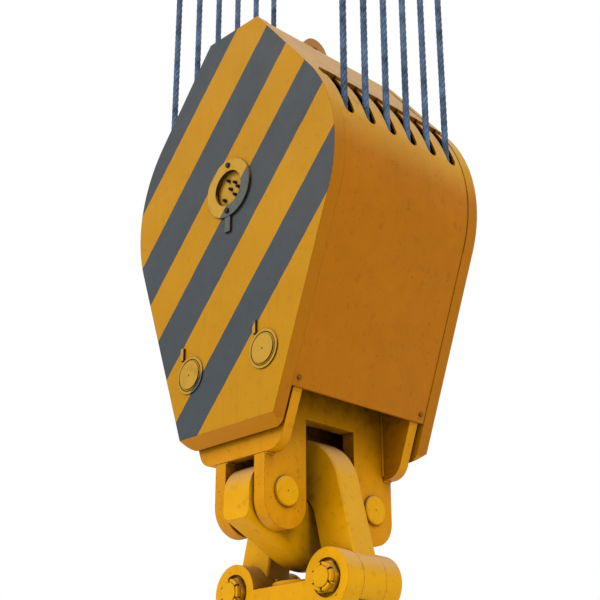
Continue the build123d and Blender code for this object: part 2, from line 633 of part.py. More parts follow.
export_step(hook_body.part, "parts/hook_body.step")

NUT_FACE_Y = -EAR_OUT + NUT_SEAT_T
with BuildPart() as hook_pins:
    for x, z in EYES:
        with BuildSketch(Plane.XZ.offset(-EAR_OUT)):
            with Locations((x, z)):
                Circle(HOOK_PIN_R)
        extrude(amount=EAR_OUT - NUT_FACE_Y)
        with BuildSketch(Plane.XZ.offset(-EAR_OUT - 22)):
            with Locations((x, z)):
                Circle(HOOK_PIN_R + 24)
        extrude(amount=22)
        with BuildSketch(Plane.XZ.offset(-NUT_FACE_Y)):
            with Locations((x, z)):
                Circle(STUD_R)
        extrude(amount=STUD_OUT + NUT_FACE_Y)
hook_pins.part.label = "hook_pins"
export_step(hook_pins.part, "parts/hook_pins.step")

with BuildPart() as castle_nuts:
    for x, z in EYES:
        with BuildSketch(Plane.XZ.offset(-NUT_FACE_Y)):
            with Locations((x, z)):
                RegularPolygon(radius=NUT_FLATS / 2, side_count=6, major_radius=False)
                Circle(STUD_R, mode=Mode.SUBTRACT)
        extrude(amount=NUT_HEX_T)
        with BuildSketch(Plane.XZ.offset(-NUT_FACE_Y + NUT_HEX_T)):
            with Locations((x, z)):
                Circle(NUT_CROWN_R)
                Circle(STUD_R, mode=Mode.SUBTRACT)
            for turn in range(30, 210, 60):
                with Locations(Location((x, z, 0), (0, 0, turn))):
                    Rectangle(2 * NUT_CROWN_R + 4, 11, mode=Mode.SUBTRACT)
        extrude(amount=NUT_CROWN_T)
castle_nuts.part.label = "castle_nuts"
export_step(castle_nuts.part, "parts/castle_nuts.step")

with BuildPart() as barrel_cap:
    with Locations((0, 0, BODY_TOP_Z + CAP_PLATE_T / 2)):
        Cylinder(CAP_PLATE_R, CAP_PLATE_T)
    with Locations((0, 0, BODY_TOP_Z + CAP_DOME_T / 2)):
        Cylinder(CAP_DOME_R, CAP_DOME_T)
barrel_cap.part.label = "barrel_cap"
export_step(barrel_cap.part, "parts/barrel_cap.step")

with BuildPart() as cap_screws:
    with BuildSketch(Plane.XY.offset(BODY_TOP_Z + CAP_PLATE_T)):
        with PolarLocations(CAP_SCREW_R, CAP_SCREWS, start_angle=22.5):
            RegularPolygon(radius=17, side_count=6)
    extrude(amount=18)
cap_screws.part.label = "cap_screws"
export_step(cap_screws.part, "parts/cap_screws.step")

# Spring carrier with its thrust bearing, on two springs that stand on the barrel floor
with BuildPart() as spring_carrier:
    with BuildSketch(Plane.XZ):
        with BuildLine():
            Polyline((STEM_R + 5, CARRIER_SEAT_Z), (CARRIER_IN_R, CARRIER_SEAT_Z),
                     (CARRIER_IN_R, CARRIER_TOP_Z), (CARRIER_R, CARRIER_TOP_Z),
                     (CARRIER_R, CARRIER_LOW_Z), (STEM_R + 5, CARRIER_LOW_Z), close=True)
        make_face()
    revolve(axis=Axis.Z)
spring_carrier.part.label = "spring_carrier"
export_step(spring_carrier.part, "parts/spring_carrier.step")

ROLLER_Z = THRUST_TOP_Z - THRUST_WASHER_T - THRUST_ROLLER_R
with BuildPart() as thrust_bearing:
    for top_z in (THRUST_TOP_Z, ROLLER_Z - THRUST_ROLLER_R):
        with BuildSketch(Plane.XY.offset(top_z)):
            Circle(THRUST_OUT_R)
            Circle(THRUST_IN_R, mode=Mode.SUBTRACT)
        extrude(amount=-THRUST_WASHER_T)
    roller_mid_r, roller_length = (THRUST_IN_R + THRUST_OUT_R) / 2, 48
    with Locations(Location((0, 0, ROLLER_Z))):
        with PolarLocations(roller_mid_r, 14):
            Cylinder(THRUST_ROLLER_R - 0.2, roller_length, rotation=(0, 90, 0))
thrust_bearing.part.label = "thrust_bearing"
export_step(thrust_bearing.part, "parts/thrust_bearing.step")


def coil_spring(wire_r, coil_r, turns):
    """Round-wire spring between the barrel floor and the carrier."""
    gap = 0.5
    height = CARRIER_LOW_Z - BORE_LOW_Z - 2 * (wire_r + gap)
    low_z = BORE_LOW_Z + wire_r + gap
    with BuildPart() as spring:
        with BuildLine(Plane.XY.offset(low_z)) as wire:
            Helix(pitch=height / turns, height=height, radius=coil_r)
        with BuildSketch(Plane(wire.line @ 0, z_dir=wire.line % 0)):
            Circle(wire_r)
        sweep(path=wire.line, is_frenet=True)
    return spring


outer_spring = coil_spring(OUTER_WIRE_R, OUTER_COIL_R, OUTER_TURNS)
outer_spring.part.label = "outer_spring"
export_step(outer_spring.part, "parts/outer_spring.step")

inner_spring = coil_spring(INNER_WIRE_R, INNER_COIL_R, INNER_TURNS)
inner_spring.part.label = "inner_spring"
export_step(inner_spring.part, "parts/inner_spring.step")

with BuildPart() as stem_nut:
    with BuildSketch(Plane.XY.offset(STEM_NUT_TOP_Z)):
        Circle(STEM_NUT_R)
        Circle(STEM_R, mode=Mode.SUBTRACT)
        for turn in range(0, 180, 60):
            with PolarLocations(STEM_NUT_R, 6):
                Rectangle(24, 26, mode=Mode.SUBTRACT)
    extrude(amount=THRUST_TOP_Z + 1 - STEM_NUT_TOP_Z)
stem_nut.part.label = "stem_nut"
export_step(stem_nut.part, "parts/stem_nut.step")


def hook_profile():
    """Front outline of the hook: neck, back, bowl and point."""
    low = MOUTH_CENTRE_Z
    with BuildSketch() as profile:
        with BuildLine():
            Polyline((-130, HEAD_Z), (130, HEAD_Z), (158, HEAD_Z - 150), (158, HEAD_Z - 225),
                     (112, HEAD_Z - 252), (10, HEAD_Z - 300))
            ThreePointArc((10, HEAD_Z - 300), (-78, HEAD_Z - 395), (-MOUTH_IN_R, low))
            ThreePointArc((-MOUTH_IN_R, low), (0, low - MOUTH_IN_R), (MOUTH_IN_R, low))
            Polyline((MOUTH_IN_R, low), (150, low + 110), (200, low + 178), (255, low + 165))
            ThreePointArc((255, low + 165), (312, low + 60), (322, low - 40))
            ThreePointArc((322, low - 40), (0, low - 325), (-325, low - 20))
            ThreePointArc((-325, low - 20), (-300, low + 180), (-215, low + 360))
            Line((-215, low + 360), (-130, HEAD_Z))
        make_face()
    return profile.sketch


def link_horn():
    """Outline in Y-Z of one ear that carries an elevator link, on the +Y side."""
    with BuildSketch() as horn:
        with BuildLine():
            Polyline((0, HEAD_Z - 30), (152, HEAD_Z - 30), (SEAT_Y - SEAT_R, SEAT_Z))
            ThreePointArc((SEAT_Y - SEAT_R, SEAT_Z), (SEAT_Y, SEAT_Z - SEAT_R), (SEAT_Y + SEAT_R, SEAT_Z))
            Polyline((SEAT_Y + SEAT_R, SEAT_Z), (292, HEAD_Z - 40), (330, HEAD_Z - 40), (352, SEAT_Z))
            ThreePointArc((352, SEAT_Z), (300, SEAT_Z - 118), (SEAT_Y - 20, SEAT_Z - 150))
            Polyline((SEAT_Y - 20, SEAT_Z - 150), (HOOK_HALF + 35, SEAT_Z - 112),
                     (0, SEAT_Z - 112), (0, HEAD_Z - 30))
        make_face()
    return horn.sketch


# Hook forged in one piece with its stem; it carries the ears for the links and the hinge lugs
with BuildPart() as main_hook:
    with BuildSketch(Plane.XZ.offset(-HOOK_HALF)):
        add(hook_profile())
    extrude(amount=2 * HOOK_HALF)
    outline_edges = edges().filter_by(lambda e: abs(abs(e.center().Y) - HOOK_HALF) < 1)
    chamfer(outline_edges, length=HOOK_CHAMFER)
    with BuildSketch(Plane.YZ.offset(-HORN_HALF)):
        add(link_horn())
        mirror(about=Plane.YZ)
    extrude(amount=2 * HORN_HALF)
    for y in (LOCK_PIN_Y, -LOCK_PIN_Y):
        for near_x in (34, -58):
            with BuildSketch(Plane.YZ.offset(near_x)):
                with Locations((y, LOCK_PIN_Z)):
                    Circle(28)
                with Locations((y, (LOCK_PIN_Z + HEAD_Z - 40) / 2)):
                    Rectangle(56, LOCK_PIN_Z - HEAD_Z + 40)
                with Locations((y, LOCK_PIN_Z)):
                    Circle(LOCK_PIN_R, mode=Mode.SUBTRACT)
            extrude(amount=24)
    with Locations((0, 0, (STEM_TOP_Z + HEAD_Z - 40) / 2)):
        Cylinder(STEM_R, STEM_TOP_Z - HEAD_Z + 40)
    with Locations((0, 0, HEAD_Z + 20)):
        Cone(92, 80, 40)
    with BuildSketch(Plane.XZ.offset(-HOOK_HALF)):
        with Locations((LATCH_X, LATCH_Z)):
            Circle(LATCH_PIN_R)
    extrude(amount=2 * HOOK_HALF, mode=Mode.SUBTRACT)
main_hook.part.label = "main_hook"
export_step(main_hook.part, "parts/main_hook.step")

with BuildPart() as latch:
    with BuildSketch(Plane.XZ.offset(-LATCH_OUT)):
        with BuildLine():
            Polyline((LATCH_X - 28, LATCH_Z), (LATCH_X + 32, LATCH_Z + 4),
                     (LATCH_X + 32, LATCH_Z - 225), (LATCH_X - 12, LATCH_Z - 232), close=True)
        make_face()
        with Locations((LATCH_X, LATCH_Z)):
            Circle(36)
            Circle(LATCH_PIN_R + RUNNING_FIT, mode=Mode.SUBTRACT)
    extrude(amount=2 * LATCH_OUT)
    with Locations((LATCH_X, 0, LATCH_Z - 20)):
        Box(400, 2 * LATCH_IN, 300, mode=Mode.SUBTRACT)
latch.part.label = "latch"
export_step(latch.part, "parts/latch.step")

with BuildPart() as latch_pin:
    with Locations((LATCH_X, 0, LATCH_Z)):
        Cylinder(LATCH_PIN_R, 2 * LATCH_OUT + 16, rotation=(90, 0, 0))
latch_pin.part.label = "latch_pin"
export_step(latch_pin.part, "parts/latch_pin.step")


def link_lock(side):
    """Bar that closes one link ear; side is 1 on the +Y side and -1 on the -Y side."""
    with BuildPart() as lock:
        with BuildSketch(Plane.YZ.offset(-33)):
            with BuildLine():
                Polyline((side * LOCK_PIN_Y, LOCK_PIN_Z + 24), (side * 335, HEAD_Z + 10),
                         (side * 372, HEAD_Z - 20), (side * 372, HEAD_Z - 80),
                         (side * 356, HEAD_Z - 80), (side * 348, HEAD_Z - 30),
                         (side * 330, HEAD_Z - 30), (side * LOCK_PIN_Y, LOCK_PIN_Z - 24), close=True)
            make_face()
            with Locations((side * LOCK_PIN_Y, LOCK_PIN_Z)):
                Circle(24)
                Circle(LOCK_PIN_R + RUNNING_FIT, mode=Mode.SUBTRACT)
        extrude(amount=66)
    return lock


rear_link_lock = link_lock(1)
rear_link_lock.part.label = "rear_link_lock"
export_step(rear_link_lock.part, "parts/rear_link_lock.step")

front_link_lock = link_lock(-1)
front_link_lock.part.label = "front_link_lock"
export_step(front_link_lock.part, "parts/front_link_lock.step")

with BuildPart() as link_lock_pins:
    with Locations((0, LOCK_PIN_Y, LOCK_PIN_Z), (0, -LOCK_PIN_Y, LOCK_PIN_Z)):
        Cylinder(LOCK_PIN_R, 132, rotation=(0, 90, 0))
link_lock_pins.part.label = "link_lock_pins"
export_step(link_lock_pins.part, "parts/link_lock_pins.step")
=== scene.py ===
"""Looks of a travelling block with its bails and spring hook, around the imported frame.

Metres, in the frame's own axes: X across the side plates, Y along the axle, Z up the ropes.
"""
import math

import bpy
import numpy as np
from mathutils import Matrix, Vector


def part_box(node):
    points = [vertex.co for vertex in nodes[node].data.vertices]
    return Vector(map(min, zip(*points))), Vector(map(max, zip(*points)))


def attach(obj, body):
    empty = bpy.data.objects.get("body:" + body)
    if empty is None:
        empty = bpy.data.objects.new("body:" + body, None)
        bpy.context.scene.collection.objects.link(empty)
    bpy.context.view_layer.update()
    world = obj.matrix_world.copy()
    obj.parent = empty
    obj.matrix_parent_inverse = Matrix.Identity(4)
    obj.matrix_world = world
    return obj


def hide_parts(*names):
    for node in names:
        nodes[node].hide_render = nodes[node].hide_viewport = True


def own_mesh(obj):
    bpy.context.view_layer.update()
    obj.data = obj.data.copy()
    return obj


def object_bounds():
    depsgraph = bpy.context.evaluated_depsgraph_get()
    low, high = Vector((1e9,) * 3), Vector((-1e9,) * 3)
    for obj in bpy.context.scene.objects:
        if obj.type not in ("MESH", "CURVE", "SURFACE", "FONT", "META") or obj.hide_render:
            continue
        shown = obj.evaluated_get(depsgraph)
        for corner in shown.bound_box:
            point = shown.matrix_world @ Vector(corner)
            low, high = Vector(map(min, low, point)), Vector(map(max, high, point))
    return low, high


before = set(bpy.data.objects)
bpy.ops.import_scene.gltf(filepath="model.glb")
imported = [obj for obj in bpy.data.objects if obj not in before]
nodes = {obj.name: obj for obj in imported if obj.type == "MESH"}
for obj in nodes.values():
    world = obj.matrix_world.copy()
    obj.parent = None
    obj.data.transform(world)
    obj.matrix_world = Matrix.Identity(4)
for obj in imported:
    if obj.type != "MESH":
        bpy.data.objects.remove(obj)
cad_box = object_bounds()

# Ropes: six falls, each going once under its sheave
SHEAVES = 6
SHEAVE_PITCH = 0.1638
SHEAVE_Y = [(k - (SHEAVES - 1) / 2) * SHEAVE_PITCH for k in range(SHEAVES)]
ROPE_D = 0.038
ROPE_LINE_R = 0.723
ROPE_TOP_Z = 2.210
ROPE_TURNS = 6
STRANDS = 6
FACETS_PER_STRAND = 5
RING_STEP = 0.014
LAY_LENGTH = 6.5 * ROPE_D
# The rope's UVs: U grows by FACET_U over each facet, V by one over each BAND_LENGTH
FACET_U = 1.4
BAND_LENGTH = 0.006
RUN_POINT_Z = 6 * ROPE_D


# ---------------------------------------------------------------- camera, light and floor
def place_camera():
    """Camera low in front and to the right, looking up at the block."""
    camera = bpy.data.objects.new("camera", bpy.data.cameras.new("camera"))
    bpy.context.scene.collection.objects.link(camera)
    camera.data.sensor_width = 36
    camera.data.lens = 73.8
    azimuth, elevation, roll = math.radians(46.13), math.radians(-22.36), math.radians(-0.11)
    back = Vector((math.sin(azimuth) * math.cos(elevation),
                   -math.cos(azimuth) * math.cos(elevation), math.sin(elevation)))
    turn = (-back).to_track_quat("-Z", "Y").to_matrix() @ Matrix.Rotation(roll, 3, "Z")
    camera.matrix_world = Matrix.Translation((4.555, -4.417, -3.103)) @ turn.to_4x4()
    camera.data.clip_start, camera.data.clip_end = 0.1, 200
    bpy.context.scene.camera = camera


def place_sun(name, towards, strength, softness):
    """Soft sun that shines from the direction of the vector towards."""
    sun = bpy.data.objects.new(name, bpy.data.lights.new(name, "SUN"))
    bpy.context.scene.collection.objects.link(sun)
    sun.data.energy = strength
    sun.data.angle = math.radians(softness)
    sun.rotation_mode = "QUATERNION"
    sun.rotation_quaternion = Vector(towards).to_track_quat("Z", "Y")


# ---------------------------------------------------------------- materials
def linear(hex_colour):
    """Linear RGBA of an sRGB hex colour."""
    channels = [int(hex_colour[i:i + 2], 16) / 255 for i in (1, 3, 5)]
    return [c / 12.92 if c <= 0.04045 else ((c + 0.055) / 1.055) ** 2.4 for c in channels] + [1]


def node(tree, kind, inputs=None, **settings):
    """Adds a shader node with its settings; inputs are values, or other nodes' outputs."""
    made = tree.nodes.new("ShaderNode" + kind)
    for key, value in settings.items():
        setattr(made, key, value)
    for key, value in (inputs or {}).items():
        if isinstance(value, bpy.types.NodeSocket):
            tree.links.new(value, made.inputs[key])
        else:
            made.inputs[key].default_value = value
    return made


def new_material(name):
    """Material with an empty principled shader; returns the material, its tree and shader."""
    material = bpy.data.materials.new(name)
    material.use_nodes = True
    tree = material.node_tree
    return material, tree, tree.nodes["Principled BSDF"]


def ramp(tree, value, stops, interpolation="LINEAR"):
    """Colour ramp through (position, hex or grey level) stops; returns its colour output."""
    made = node(tree, "ValToRGB", {"Fac": value})
    made.color_ramp.interpolation = interpolation
    elements = made.color_ramp.elements
    while len(elements) < len(stops):
        elements.new(0.5)
    for element, (position, colour) in zip(elements, stops):
        element.position = position
        element.color = linear(colour) if isinstance(colour, str) else [colour] * 3 + [1]
    return made.outputs["Color"]


def mixed(tree, factor, low, high, blend="MIX"):
    """Colour mix of low and high; each is a hex colour or a colour output."""
    made = node(tree, "Mix", {"Factor": factor}, data_type="RGBA", blend_type=blend)
    for socket, colour in ((made.inputs[6], low), (made.inputs[7], high)):
        if isinstance(colour, str):
            socket.default_value = linear(colour)
        else:
            tree.links.new(colour, socket)
    return made.outputs[2]


def noise(tree, where, size, detail=3.0, stretch=(1, 1, 1)):
    """Noise whose lumps are size metres across, with the pattern pulled out by stretch."""
    scaled = node(tree, "Mapping", {"Vector": where, "Scale": [1 / (size * s) for s in stretch]})
    made = node(tree, "TexNoise",
                {"Vector": scaled.outputs["Vector"], "Scale": 1.0, "Detail": detail})
    return made.outputs["Fac"]


def times(tree, a, b, operation="MULTIPLY"):
    """Maths on two values or outputs."""
    return node(tree, "Math", {0: a, 1: b}, operation=operation).outputs[0]


# Colours of age and soiling on paint, and of the painted top light and painted shade mixed into them
FADED_AND_TOP_LIT = "#D09A28"
TAN_DUST_AND_TOP_LIGHT = "#D2A878"
CLOUDS = "#3A1C00"
RAIN_RUNS = "#5E3A10"
OIL_BLOTCHES = "#4A2A06"
SPECKS = "#2A1D10"
CORNER_GRIME_AND_SHADE = "#2A1200"
SEAM_SHADE = "#140A04"
CHIPPED_EDGE = "#2B2620"


def weathering(tree, where, paint, dirt_and_shade, edge_chips, dust_and_top_light, reach=0.24, runs=0.1):
    """Dusting, fading and painted top light on upward faces, darker cloudy spots, rain runs, soiling
    with painted shade in corners and under parts, painted shade in seams, and chipped edges over a
    paint.
    """
    coords = node(tree, "TexCoord")
    # Upward faces go paler and tan: partly fading and dusting, partly painted light from above.
    upward = node(tree, "SeparateXYZ", {"Vector": coords.outputs["Normal"]}).outputs["Z"]
    faded_and_top_lit = ramp(tree, upward, [(0.0, 0.0), (0.34, 1.0)])
    paint = mixed(tree, times(tree, faded_and_top_lit, dust_and_top_light), paint, FADED_AND_TOP_LIT)
    settled_dust_and_top_light = ramp(tree, upward, [(0.25, 0.0), (0.75, 1.0)])
    settled_dust_and_top_light = times(tree, settled_dust_and_top_light, ramp(tree, noise(tree, where, 0.2, 4), [(0.2, 0.6), (0.7, 1.0)]))
    colour = mixed(tree, times(tree, settled_dust_and_top_light, dust_and_top_light), paint, TAN_DUST_AND_TOP_LIGHT)
    cloudy = ramp(tree, noise(tree, where, 0.5, 3), [(0.3, 0.0), (0.75, 1.0)])
    darker = mixed(tree, 0.5, paint, CLOUDS, "MULTIPLY")
    colour = mixed(tree, times(tree, cloudy, 0.22), colour, darker)
    streaks = ramp(tree, noise(tree, where, 0.035, 4, (1, 1, 9)), [(0.55, 0.0), (0.8, 1.0)])
    colour = mixed(tree, times(tree, streaks, runs), colour, RAIN_RUNS)
    blotch = ramp(tree, noise(tree, where, 0.05, 6), [(0.6, 0.0), (0.72, 1.0)])
    colour = mixed(tree, times(tree, blotch, dirt_and_shade * 0.22), colour, OIL_BLOTCHES)
    speck = ramp(tree, noise(tree, where, 0.013, 2), [(0.70, 0.0), (0.74, 1.0)])
    colour = mixed(tree, times(tree, speck, dirt_and_shade * 0.8), colour, SPECKS)
    # Painted shade with some soiling: darker brown in corners, recesses and under other parts, out
    # to reach metres from them.
    corner = node(tree, "AmbientOcclusion", {"Distance": reach}, samples=8)
    grime_and_shade = ramp(tree, corner.outputs["AO"], [(0.15, 1.0), (0.78, 0.0)])
    grime_and_shade = times(tree, grime_and_shade, ramp(tree, noise(tree, where, 0.05, 3), [(0.25, 0.7), (0.7, 1.0)]))
    colour = mixed(tree, times(tree, grime_and_shade, dirt_and_shade), colour, CORNER_GRIME_AND_SHADE)
    # Painted shade in narrow gaps and seams between parts.
    seam = node(tree, "AmbientOcclusion", {"Distance": 0.014}, samples=6)
    seam_shade = ramp(tree, seam.outputs["AO"], [(0.3, 1.0), (0.72, 0.0)])
    colour = mixed(tree, times(tree, seam_shade, min(1.0, dirt_and_shade + 0.15)), colour, SEAM_SHADE)
    rounded = node(tree, "Bevel", {"Radius": 0.006}, samples=4)
    flat = node(tree, "NewGeometry").outputs["Normal"]
    facing = node(tree, "VectorMath", {0: rounded.outputs[0], 1: flat}, operation="DOT_PRODUCT")
    edge = ramp(tree, facing.outputs["Value"], [(0.86, 1.0), (0.985, 0.0)])
    broken = ramp(tree, noise(tree, where, 0.018, 5), [(0.52, 0.0), (0.6, 1.0)])
    chips = times(tree, times(tree, edge, broken), edge_chips)
    return mixed(tree, chips, colour, CHIPPED_EDGE), rounded.outputs[0], chips


def finish_enamel(tree, shader, where, colour, normal, chips, grain, roughness):
    """Gloss and surface of brushed or sprayed enamel; grain is the size of its unevenness."""
    shader.inputs["IOR"].default_value = 1.45
    shader.inputs["Specular IOR Level"].default_value = 0.26
    shader.inputs["Specular Tint"].default_value = linear("#FFD790")
    dull = noise(tree, where, 0.12, 3)
    rough = node(tree, "MapRange", {"Value": dull, "From Min": 0.3, "From Max": 0.7,
                                    "To Min": roughness - 0.07, "To Max": roughness + 0.1})
    tree.links.new(rough.outputs["Result"], shader.inputs["Roughness"])
    tree.links.new(colour, shader.inputs["Base Color"])
    uneven = times(tree, noise(tree, where, grain, 3), times(tree, chips, 0.5), "SUBTRACT")
    bump = node(tree, "Bump", {"Strength": 0.35, "Distance": grain * 0.12, "Height": uneven,
                               "Normal": normal})
    tree.links.new(bump.outputs["Normal"], shader.inputs["Normal"])


def enamel(name, paint, grain, roughness=0.42, dirt_and_shade=0.85, edge_chips=0.7, dust_and_top_light=0.75, runs=0.1,
           reach=0.24):
    """Alkyd enamel on steel: glossy when new, here dusty, paler from fading and chipped at its
    edges, with painted top light on upward faces and painted shade in corners, seams and under
    parts.
    """
    material, tree, shader = new_material(name)
    where = node(tree, "TexCoord").outputs["Object"]
    shade = mixed(tree, noise(tree, where, 0.09, 4), paint, mixed(tree, 0.2, paint, "#5A3000"))
    colour, normal, chips = weathering(tree, where, shade, dirt_and_shade, edge_chips, dust_and_top_light, reach, runs)
    finish_enamel(tree, shader, where, colour, normal, chips, grain, roughness)
    return material


# Lower edge of each stripe, in metres across the stripes, with its colour
STRIPES = [(-1.2, "grey"), (-0.664, "yellow"), (-0.405, "grey"), (-0.163, "yellow"),
           (0.059, "grey"), (0.298, "yellow"), (0.537, "grey"), (0.746, "yellow")]
STRIPE_SPAN = 1.2
ACROSS_X, ACROSS_Z = 0.7373, -0.6756


def striped_enamel(name, yellow, grey, edge_paint, bevel_paint, roughness=0.5, dirt_and_shade=0.5):
    """Yellow enamel with masked grey hazard stripes on the outer faces."""
    material, tree, shader = new_material(name)
    where = node(tree, "TexCoord").outputs["Object"]
    wobble = times(tree, noise(tree, where, 0.08, 2), 0.008)
    split = node(tree, "SeparateXYZ", {"Vector": where})
    across = times(tree, times(tree, split.outputs["X"], ACROSS_X),
                   times(tree, split.outputs["Z"], ACROSS_Z), "ADD")
    across = times(tree, across, wobble, "ADD")
    place = node(tree, "MapRange",
                 {"Value": across, "From Min": -STRIPE_SPAN, "From Max": STRIPE_SPAN})
    mask = ramp(tree, place.outputs["Result"],
                [((edge + STRIPE_SPAN) / 2 / STRIPE_SPAN, 0.0 if kind == "grey" else 1.0)
                 for edge, kind in STRIPES], "CONSTANT")
    grey_mottled = mixed(tree, noise(tree, where, 0.05, 5), grey,
                         mixed(tree, 0.3, grey, "#2E3336"))
    yellow_mottled = mixed(tree, noise(tree, where, 0.07, 4), yellow,
                           mixed(tree, 0.1, yellow, "#6B4A10"))
    stripes = mixed(tree, mask, grey_mottled, yellow_mottled)
    facing = node(tree, "SeparateXYZ", {"Vector": node(tree, "TexCoord").outputs["Normal"]})
    outer = times(tree, times(tree, facing.outputs["Y"], facing.outputs["Y"]), 0.8, "GREATER_THAN")
    bevelled = times(tree, facing.outputs["Z"], -0.5, "LESS_THAN")
    edges = mixed(tree, bevelled, edge_paint, bevel_paint)
    paint = mixed(tree, outer, edges, stripes)
    colour, normal, chips = weathering(tree, where, paint, dirt_and_shade, 0.6, 0.8)
    finish_enamel(tree, shader, where, colour, normal, chips, 0.010, roughness)
    return material


def worked_steel(name, light, dark, roughness, grain, metallic=1.0, grease_and_shade=0.4):
    """Turned or forged steel, with old lubricant and painted shade darkening its corners."""
    material, tree, shader = new_material(name)
    where = node(tree, "TexCoord").outputs["Object"]
    shade = mixed(tree, noise(tree, where, 0.06, 5), light, dark)
    # Painted shade, with old lubricant: darker within a few centimetres of other surfaces.
    corner = node(tree, "AmbientOcclusion", {"Distance": 0.05}, samples=4)
    corner_grease_and_shade = times(tree, ramp(tree, corner.outputs["AO"], [(0.1, 1.0), (0.8, 0.0)]), grease_and_shade)
    colour = mixed(tree, corner_grease_and_shade, shade, "#15110C")
    tree.links.new(colour, shader.inputs["Base Color"])
    shader.inputs["Metallic"].default_value = metallic
    rough = node(tree, "MapRange", {"Value": noise(tree, where, 0.03, 3),
                                    "From Min": 0.3, "From Max": 0.7,
                                    "To Min": roughness - 0.08, "To Max": roughness + 0.12})
    tree.links.new(rough.outputs["Result"], shader.inputs["Roughness"])
    rounded = node(tree, "Bevel", {"Radius": 0.003}, samples=4)
    bump = node(tree, "Bump", {"Strength": 0.4, "Distance": grain * 0.2,
                               "Height": noise(tree, where, grain, 4), "Normal": rounded.outputs[0]})
    tree.links.new(bump.outputs["Normal"], shader.inputs["Normal"])
    return material


def wire_rope(name):
    """Bright wire rope under dark lubricant: in ordinary lay the outer wires run along the rope."""
    material, tree, shader = new_material(name)
    where = node(tree, "TexCoord").outputs["Object"]
    round_it = node(tree, "UVMap").outputs["UV"]
    wires = node(tree, "TexWave",
                 {"Vector": round_it, "Scale": 1.0, "Distortion": 0.6, "Detail": 1.0},
                 wave_type="BANDS", bands_direction="DIAGONAL").outputs["Fac"]
    # Lighter blue areas: bright wire through the lubricant, and painted highlights.
    bright_wire_and_highlights = ramp(tree, noise(tree, where, 0.09, 4), [(0.3, 0.0), (0.72, 1.0)])
    steel = mixed(tree, bright_wire_and_highlights, "#263A50", "#6C88AC")
    steel = mixed(tree, ramp(tree, wires, [(0.15, 0.45), (0.6, 0.0)]), steel, "#10161E")
    # Painted shade in the valleys between the strands.
    shade = node(tree, "AmbientOcclusion", {"Distance": 0.012}, samples=4)
    valley_shade = ramp(tree, shade.outputs["AO"], [(0.35, 1.0), (0.95, 0.0)])
    tree.links.new(mixed(tree, valley_shade, steel, "#0B1016"), shader.inputs["Base Color"])
    shader.inputs["Metallic"].default_value = 0.55
    shader.inputs["Roughness"].default_value = 0.48
    bump = node(tree, "Bump", {"Strength": 0.5, "Distance": 0.0012, "Height": wires})
    tree.links.new(bump.outputs["Normal"], shader.inputs["Normal"])
    return material


SHELL_PAINT = "#B86E00"
CAST_PAINT = "#E8A600"
striped_plate = striped_enamel("striped_alkyd_enamel", "#C08604", "#424C55", "#AE6A00", "#C27D00")
# The near-black sides of pin heads and caps are painted shade of the gaps round them.
striped_pin = striped_enamel("worn_striped_enamel_with_painted_shade_rims", "#C29430", "#5A605F", "#2E2A22",
                             "#2E2A22", dirt_and_shade=0.9)
sheet_enamel = enamel("alkyd_enamel_on_rolled_sheet", SHELL_PAINT, 0.020, 0.40, dust_and_top_light=0.9)
# A reach of half a metre paints the shade under the covers onto these plates.
plate_enamel = enamel("alkyd_enamel_on_welded_plate", "#DA9200", 0.012, dirt_and_shade=0.95, reach=0.5)
# The top beam's paler tan is partly bleaching, partly painted light from above.
top_lit_beam_enamel = enamel("sun_bleached_and_painted_top_lit_enamel_on_welded_plate", "#C08A4C", 0.012)
cast_enamel = enamel("alkyd_enamel_on_cast_steel", CAST_PAINT, 0.006, 0.45, runs=0.0)
bolt_enamel = enamel("overpainted_bolt_steel", "#8A5A08", 0.005, 0.5, dirt_and_shade=0.9)
turned_steel = worked_steel("turned_alloy_steel", "#A9A49C", "#7C766E", 0.32, 0.002)
sheave_steel = worked_steel("greased_cast_sheave_steel", "#4A4744", "#26241F", 0.55, 0.006, 0.6, 0.8)
spring_steel = worked_steel("black_lacquered_spring_steel", "#2A2B2D", "#17181A", 0.38, 0.003, 0.0)
oiled_steel = worked_steel("oiled_black_screw_steel", "#33312D", "#1A1917", 0.42, 0.002, 0.7, 0.6)
zinc_steel = worked_steel("zinc_plated_steel", "#8E8C84", "#5C584F", 0.35, 0.002, 0.9, 0.7)
rope_steel = wire_rope("lubricated_wire_rope")

FINISHES = {
    striped_plate: ["front_side_plate", "rear_side_plate"],
    striped_pin: ["axle_end_caps", "sheave_axle", "tie_pins", "pin_keepers"],
    sheet_enamel: ["right_side_cover", "left_side_cover", "right_top_cover", "left_top_cover"],
    plate_enamel: ["front_hanger_plate", "rear_hanger_plate", "right_lug_plate", "left_lug_plate",
                   "bail_washers"],
    top_lit_beam_enamel: ["top_beam"],
    cast_enamel: ["lower_bail", "bail_pins", "hook_bail", "hook_body", "hook_pins", "castle_nuts",
                  "barrel_cap", "main_hook", "latch", "front_link_lock", "rear_link_lock"],
    bolt_enamel: ["cover_bolts", "cap_screws"],
    oiled_steel: ["axle_cap_bolts", "grease_fittings"],
    turned_steel: ["spacer_rings", "bearing_inner_rings", "thrust_bearing", "stem_nut", "latch_pin",
                   "link_lock_pins", "spring_carrier"],
    spring_steel: ["outer_spring", "inner_spring"],
    zinc_steel: ["rope_sockets"],
    rope_steel: [f"rope_{k}" for k in range(1, SHEAVES + 1)],
    sheave_steel: [],
}
for number in range(1, SHEAVES + 1):
    FINISHES[sheave_steel].append(f"sheave_{number}")
    FINISHES[turned_steel].append(f"bearing_outer_ring_{number}")


def dress(piece, material):
    """Gives every material slot of a piece the one finish."""
    piece.data.materials.clear()
    piece.data.materials.append(material)


for finish, names in FINISHES.items():
    for name in names:
        dress(nodes[name], finish)


